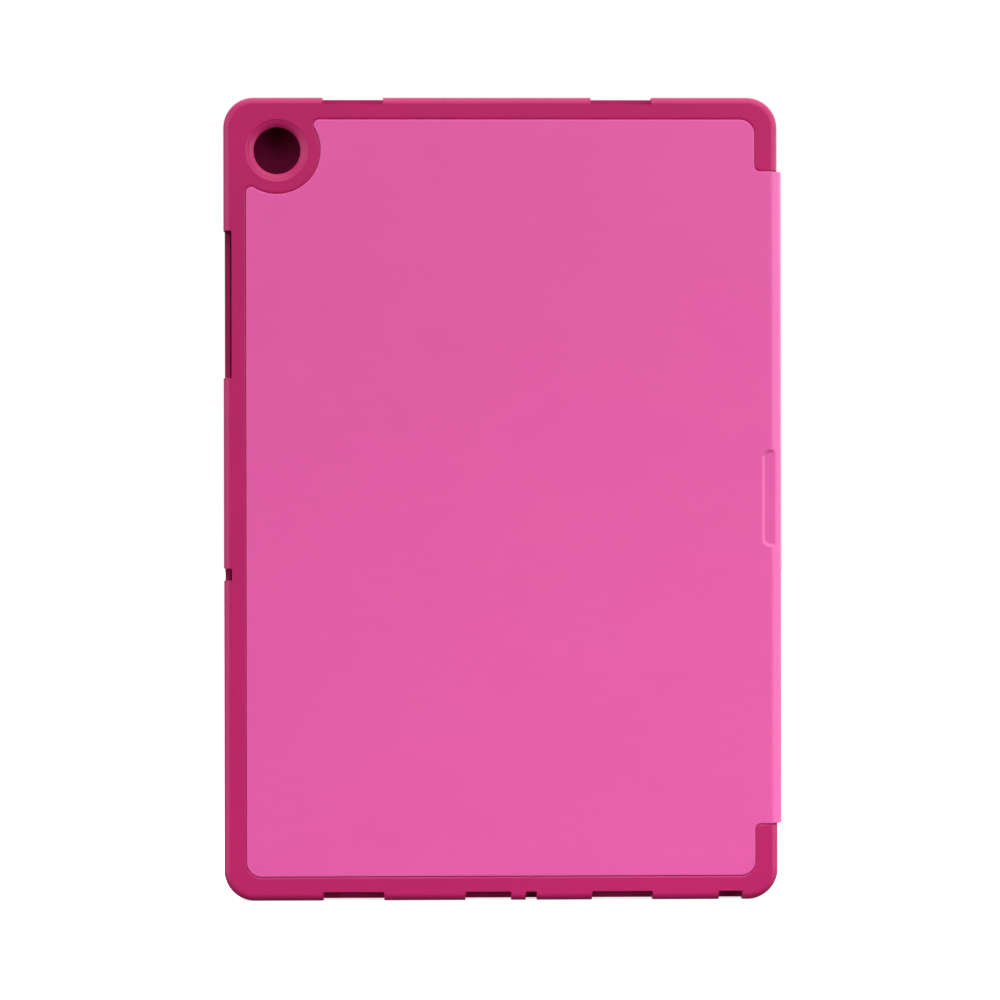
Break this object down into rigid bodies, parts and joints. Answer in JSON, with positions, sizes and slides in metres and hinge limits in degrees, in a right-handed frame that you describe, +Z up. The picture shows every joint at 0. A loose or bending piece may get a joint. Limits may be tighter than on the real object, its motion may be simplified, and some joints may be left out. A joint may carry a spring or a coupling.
{
  "type": "tablet case",
  "caption": "Folio case for a tablet: a moulded tray with a camera hole and edge cut-outs, and a folding synthetic-leather cover on a stiffened spine that also makes a stand.",
  "frame": {"origin": "middle of the overall width and thickness, at the bottom edge that the case stands on", "axes": "+Z up along the long sides, +X towards the spine, +Y from the back face towards the front cover"},
  "size_m": [0.1808, 0.0134, 0.26],
  "materials": {
    "leather": "fine-grained polyurethane, semi-matt",
    "shell_plastic": "smooth moulded, satin",
    "lining": "short-napped microfibre",
    "board": "rolled sheet",
    "magnet": "nickel plated",
    "adhesive": "acrylic transfer tape"
  },
  "bodies": {
    "tray": {"rear_shell": "shell_plastic", "back_adhesive": "adhesive", "back_leather": "leather"},
    "spine": {"spine_leather": "leather", "spine_board": "board", "spine_lining": "lining", "rear_crease_leather": "leather", "rear_crease_lining": "lining", "front_crease_leather": "leather", "front_crease_lining": "lining"},
    "hinge_panel": {"hinge_panel_leather": "leather", "hinge_panel_board": "board", "hinge_panel_lining": "lining", "stand_magnets": "magnet", "fold_1_leather": "leather", "fold_1_lining": "lining"},
    "middle_panel": {"middle_panel_leather": "leather", "middle_panel_board": "board", "middle_panel_lining": "lining", "fold_2_leather": "leather", "fold_2_lining": "lining"},
    "edge_panel": {"edge_panel_leather": "leather", "edge_panel_board": "board", "edge_panel_lining": "lining", "closure_magnets": "magnet", "wake_magnet": "magnet"}
  },
  "joints": [
    {"name": "spine_rear", "type": "hinge", "parent": "tray", "child": "spine", "pos_m": [0.08945, -0.0057, 0.13], "axis": [0, 0, -1], "range_deg": [0, 179], "deforming": ["rear_crease_leather", "rear_crease_lining"]},
    {"name": "spine_front", "type": "hinge", "parent": "spine", "child": "hinge_panel", "pos_m": [0.08923, 0.00548, 0.13], "axis": [0, 0, -1], "range_deg": [0, 90], "deforming": ["front_crease_leather", "front_crease_lining"]},
    {"name": "fold_1", "type": "hinge", "parent": "hinge_panel", "child": "middle_panel", "pos_m": [0.02834, 0.0054, 0.13], "axis": [0, 0, -1], "range_deg": [0, 120], "deforming": ["fold_1_leather", "fold_1_lining"]},
    {"name": "fold_2", "type": "hinge", "parent": "middle_panel", "child": "edge_panel", "pos_m": [-0.03256, 0.0054, 0.13], "axis": [0, 0, -1], "range_deg": [0, 120], "deforming": ["fold_2_leather", "fold_2_lining"]}
  ]
}
